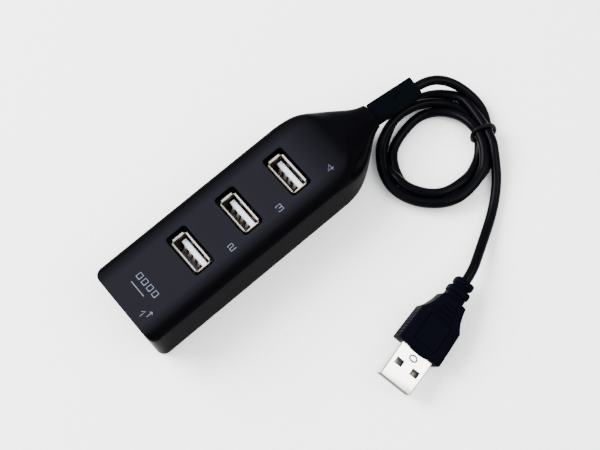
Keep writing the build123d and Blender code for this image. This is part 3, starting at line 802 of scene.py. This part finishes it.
# The raised bars behind it: where the first lies, the step to the next, the first one's length, how much
# shorter each next one is, their width and the width of their grooves
BAR_COUNT, BAR_START, BAR_STEP = 3, -13.2, 1.8
BAR_LENGTH, BAR_SHRINK, BAR_WIDTH, BAR_GROOVE = 6.2, 0.9, 0.9, 0.35
# The gaps between the ribs along the sides: where the first lies, the step to the next, how much each
# draws in with the grip, and half sizes
RIB_COUNT, RIB_START, RIB_STEP, RIB_DRAW = 9, -1.2, 1.15, 0.02
RIB_GAP = (0.28, 0.35, 2.6)
# The neck's steps from front to rear: two corners, the radius along X and the bevel of the rims
NECK_STEPS = (
    ((-21.9, -3.3, -2.7), (-19.5, 3.3, 2.7), 1.2, 0.3),
    ((-24.2, -3.7, -3.1), (-21.9, 3.7, 3.1), 1.7, 0.45),
    ((-25.6, -2.6, -2.4), (-24.0, 2.6, 2.4), 1.9, 0.2),
    ((-27.4, -3.3, -3.0), (-25.2, 3.3, 3.0), 2.0, 0.5),
)
# The oval lip at the grip's front: where its middle lies, half its length and half its width, and its height
LIP_X, LIP_HALF, LIP_HEIGHT = 0.1, (0.9, 4.2), 6.0
# The oval pressed into the shell: its length and width, where its middle lies, and the groove's radius
OVAL, OVAL_X, OVAL_GROOVE = (2.5, 1.75), 2.9, 0.28
# The shell's windows: from where to where along X, how far from the middle, and half their width
WINDOW_X, WINDOW_Y, WINDOW_HALF = (5.25, 7.55), 3.05, 1.4
# The fold lines along the shell's sides: where each starts in height, how high and how deep they are
FOLD_STARTS, FOLD_HEIGHT, FOLD_DEPTH = (-0.5, 0.9), 0.25, 0.08


def plug_frame():
    """The plug's own frame: X towards its tip, Y across it, Z out of its top."""
    turn = Matrix.Rotation(math.radians(PLUG_HEADING), 4, "Z")
    turn = turn @ Matrix.Rotation(math.radians(PLUG_PITCH), 4, "Y")
    turn = turn @ Matrix.Rotation(math.radians(PLUG_ROLL), 4, "X")
    return Matrix.Translation([v * MM for v in PLUG_ROOT]) @ turn


def grip_outline(steps=12):
    """Half outline from the front corner, round the concave shoulder to the neck, then its mirror image."""
    half = [(0.4, GRIP_HALF), (-12.0, GRIP_HALF - 0.45)]
    shoulder = (-12.6, 7.2), (-14.6, 5.35), (-19.9, 4.35)
    for i in range(steps + 1):
        t = i / steps
        weights = (1 - t) ** 2, 2 * t * (1 - t), t**2
        half.append(tuple(sum(w * p[k] for w, p in zip(weights, shoulder)) for k in range(2)))
    return half + [(x, -y) for x, y in reversed(half)]


def panel_outline(grow):
    x, y = (half + grow for half in PANEL_HALF)
    return [(x, y), (-x, y), (-x, -y), (x, -y)]


def groove_ring(outer_outline, inner_outline, at):
    """A cutter that leaves a raised island: the band between two outlines, cut at the grip's top."""
    top = GRIP_THICKNESS / 2
    outer = prism("cutter", [(x + at, y) for x, y in outer_outline], top - GROOVE_DEPTH, top + 1)
    inner = prism("island", [(x + at, y) for x, y in inner_outline], top - 1, top + 2)
    combine(outer, inner, "DIFFERENCE")
    return outer


def cut_grip_details(grip):
    """Grooves round the panel and the bars behind it, and the ribs' gaps along both sides."""
    panel = groove_ring(panel_outline(PANEL_GROOVE), panel_outline(0.0), PANEL_X)
    combine(grip, panel, "DIFFERENCE")
    for i in range(BAR_COUNT):
        length = BAR_LENGTH - BAR_SHRINK * i
        wider = capsule(length + 2 * BAR_GROOVE, BAR_WIDTH + 2 * BAR_GROOVE)
        bar = groove_ring(wider, capsule(length, BAR_WIDTH), BAR_START - BAR_STEP * i)
        combine(grip, bar, "DIFFERENCE")
    along, deep, high = RIB_GAP
    for side in (-1, 1):
        for i in range(RIB_COUNT):
            x = RIB_START - RIB_STEP * i
            y = side * (GRIP_HALF - RIB_DRAW * i)
            gap = box_object("cutter", (x - along, y - deep, -high), (x + along, y + deep, high))
            combine(grip, gap, "DIFFERENCE")


def grip_parts():
    """The neck's steps behind the grip and the oval lip at its front."""
    for low, high, radius, rim in NECK_STEPS:
        step = box_object("part", low, high, radius, "X")
        bevel_rims(step, rim, 3)
        yield step
    turns = [math.radians(a) for a in range(0, 360, 12)]
    oval = [(LIP_X + LIP_HALF[0] * math.cos(a), LIP_HALF[1] * math.sin(a)) for a in turns]
    lip = prism("part", oval, -LIP_HEIGHT / 2, LIP_HEIGHT / 2)
    bevel_rims(lip, 0.4, 3)
    yield lip


def make_grip():
    top = GRIP_THICKNESS / 2
    grip = prism("plug_grip", grip_outline(), -top, top)
    bevel_rims(grip, 0.75)
    cut_grip_details(grip)
    for part in grip_parts():
        combine(grip, part, "UNION")
    for side in (-1, 1):
        notch = box_object("cutter", (-28.0, -1.2, side * 2.9 - 0.7), (-26.6, 1.2, side * 2.9 + 0.7))
        combine(grip, notch, "DIFFERENCE")
    half_y, half_z = (size / 2 + 0.02 for size in PLUG_CASE)
    pocket = box_object("cutter", (-8.0, -half_y, -half_z), (3.0, half_y, half_z), CASE_CORNER, "X")
    combine(grip, pocket, "DIFFERENCE")
    grip.data.transform(plug_frame())
    smooth(grip, 35)
    return finish_piece(grip, "overmould", stands_for=["plug_overmould"])


def oval_groove():
    """A thin stadium ring of wire, which presses an oval groove into the shell's top."""
    data = strand("oval", OVAL_GROOVE, 3)
    data.use_fill_caps = False
    z = (PLUG_CASE[1] / 2 + 0.02) * MM
    spline = add_spline(data, "POLY", [((x + OVAL_X) * MM, y * MM, z) for x, y in capsule(*OVAL)])
    spline.use_cyclic_u = True
    return add_object("oval", drawn_mesh(data))


def plug_case_look(centre):
    """Which material a face of the plug's shell has: 0 nickel, 1 painted shadow in a pressed line, a fold
    or along a rounded top edge, 2 painted shade inside the shell and on its front edge. The face is told
    by its centre in the plug's own frame."""
    half_width, half_thickness = (size / 2 for size in PLUG_CASE)
    x, y, z = (abs(v) / MM for v in centre)
    pressed = 1.0 < x < 5.0 and y < 1.7 and half_thickness - 0.3 < z < half_thickness - 0.01
    folded = half_width - FOLD_DEPTH - 0.01 < y < half_width - 0.01 and z < 1.2
    past_side, past_top = y - half_width + CASE_CORNER, z - half_thickness + CASE_CORNER
    round_edge = past_side > 0 and 0.4 < math.atan2(past_top, past_side) < 1.0
    if pressed or folded or round_edge:
        return 1
    inside = y < half_width - SHEET + 0.02 and z < half_thickness - SHEET + 0.02
    return 2 if inside or x > PLUG_TIP - 0.04 else 0


def make_plug_case():
    """The folded metal shell: two windows on each face, a pressed oval, two fold lines along each side and
    the joint of the fold along its underside."""
    half_width, half_thickness = (size / 2 for size in PLUG_CASE)
    outer = rounded_outline(half_width, half_thickness, CASE_CORNER)
    inner = rounded_outline(half_width - SHEET, half_thickness - SHEET, CASE_CORNER / 2)
    case = tube_mesh("plug_case", outer, inner, -7.0, PLUG_TIP)
    case.data.transform(Matrix(((0, 0, 1, 0), (1, 0, 0, 0), (0, 1, 0, 0), (0, 0, 0, 1))))
    bevel_rims(case, 0.07, 2, 60)
    for side in (-1, 1):
        y = side * WINDOW_Y
        start, end = WINDOW_X
        window = box_object("window", (start, y - WINDOW_HALF, -5), (end, y + WINDOW_HALF, 5))
        combine(case, window, "DIFFERENCE")
        y = side * half_width
        for low in FOLD_STARTS:
            line = box_object("fold", (-8, y - FOLD_DEPTH, low), (13, y + FOLD_DEPTH, low + FOLD_HEIGHT))
            combine(case, line, "DIFFERENCE")
    combine(case, oval_groove(), "DIFFERENCE")
    joint = box_object("joint", (-8, -0.04, -5), (13, 0.04, -half_thickness + SHEET + 0.1))
    combine(case, joint, "DIFFERENCE")
    finish_piece(case, "plug_nickel", stands_for=["plug_shell"])
    # Painted shadow in the pressed oval, the fold lines and along the rounded top edges, and painted shade
    # inside the shell and on its front edge.
    case.data.materials.append(LOOKS["pressed_shadow"])
    case.data.materials.append(LOOKS["shell_painted_shade"])
    for polygon in case.data.polygons:
        polygon.material_index = plug_case_look(polygon.center)
    case.data.transform(plug_frame())
    smooth(case, 40)
    return case


# ---------------------------------------------------------------- the tie round the coil, in mm
TIE_ANGLE = -19.0
TIE_RADIUS = 0.65
# The wire's way round the bundle, as the distance from the coil's centre and the height
TIE_LOOP = (
    (12.3, 1.5), (12.2, 4.2), (13.0, 6.4), (14.8, 7.2), (17.4, 7.2), (19.4, 6.4), (20.4, 4.4), (20.5, 2.2),
    (19.6, 0.75), (16.5, 0.65), (13.6, 0.65),
)
# The loop leans by this much for each mm above or below the bundle's middle
TIE_LEAN, BUNDLE_MIDDLE = 0.25, 4
# The twisted ends: how many points each has, where they start as (distance from the coil's centre, height),
# how far each strand lies from their axis, and its turn in radians from point to point
TWIST_POINTS, TWIST_START, TWIST_RADIUS, TWIST_TURN = 5, (12.4, 3.6), 0.3, 1.5


def make_tie():
    """A coated wire bent tight round the bundle, its two ends twisted together on the inside."""
    turn = math.radians(TIE_ANGLE)
    along = Vector((math.cos(turn), math.sin(turn), 0))
    across = Vector((-math.sin(turn), math.cos(turn), 0))
    centre = Vector((*COIL_CENTRE, 0))
    data = strand("tie", TIE_RADIUS, 5)
    places = []
    for radius, height in TIE_LOOP:
        lean = across * (TIE_LEAN * (height - BUNDLE_MIDDLE))
        places.append((centre + along * radius + lean) * MM + Vector((0, 0, height * MM)))
    loop = add_spline(data, "NURBS", places)
    loop.use_cyclic_u = True
    loop.order_u = 4
    radius, middle = TWIST_START
    for phase in (0, math.pi):
        places = []
        for i in range(TWIST_POINTS):
            a = phase + TWIST_TURN * i
            away = centre + along * (radius - 0.05 * i) + across * (TWIST_RADIUS * math.cos(a) - 0.35 * i)
            height = middle + TWIST_RADIUS * math.sin(a)
            places.append(away * MM + Vector((0, 0, height * MM)))
        twist = add_spline(data, "NURBS", places)
        twist.order_u = 3
        twist.use_endpoint_u = True
    return finish_piece(add_object("tie", data), "tie_black", stands_for=["cable_tie"])


# ---------------------------------------------------------------- carried-over CAD pieces
# Port 1 lies along X and the others stand along Z, so the painted shade on its insulator runs another way
OWN_LOOKS = {"port_1_insulator": "receptacle_white_end"}


def dress_cad_nodes():
    """Each CAD piece that stays visible gets its slot's material."""
    slots = {entry["node"]: entry["material_slot"] for entry in frame["record"]["subparts"]}
    for node, piece in frame["nodes"].items():
        if piece.hide_render:
            continue
        piece.data.materials.clear()
        piece.data.materials.append(LOOKS[OWN_LOOKS.get(node, slots[node])])


make_camera()
LOOKS = make_materials()
make_lights()
make_floor()
make_housing()
make_receptacles()
make_marks()
cord = make_cord()
tie = make_tie()
grip = make_grip()
plug_case = make_plug_case()
dress_cad_nodes()
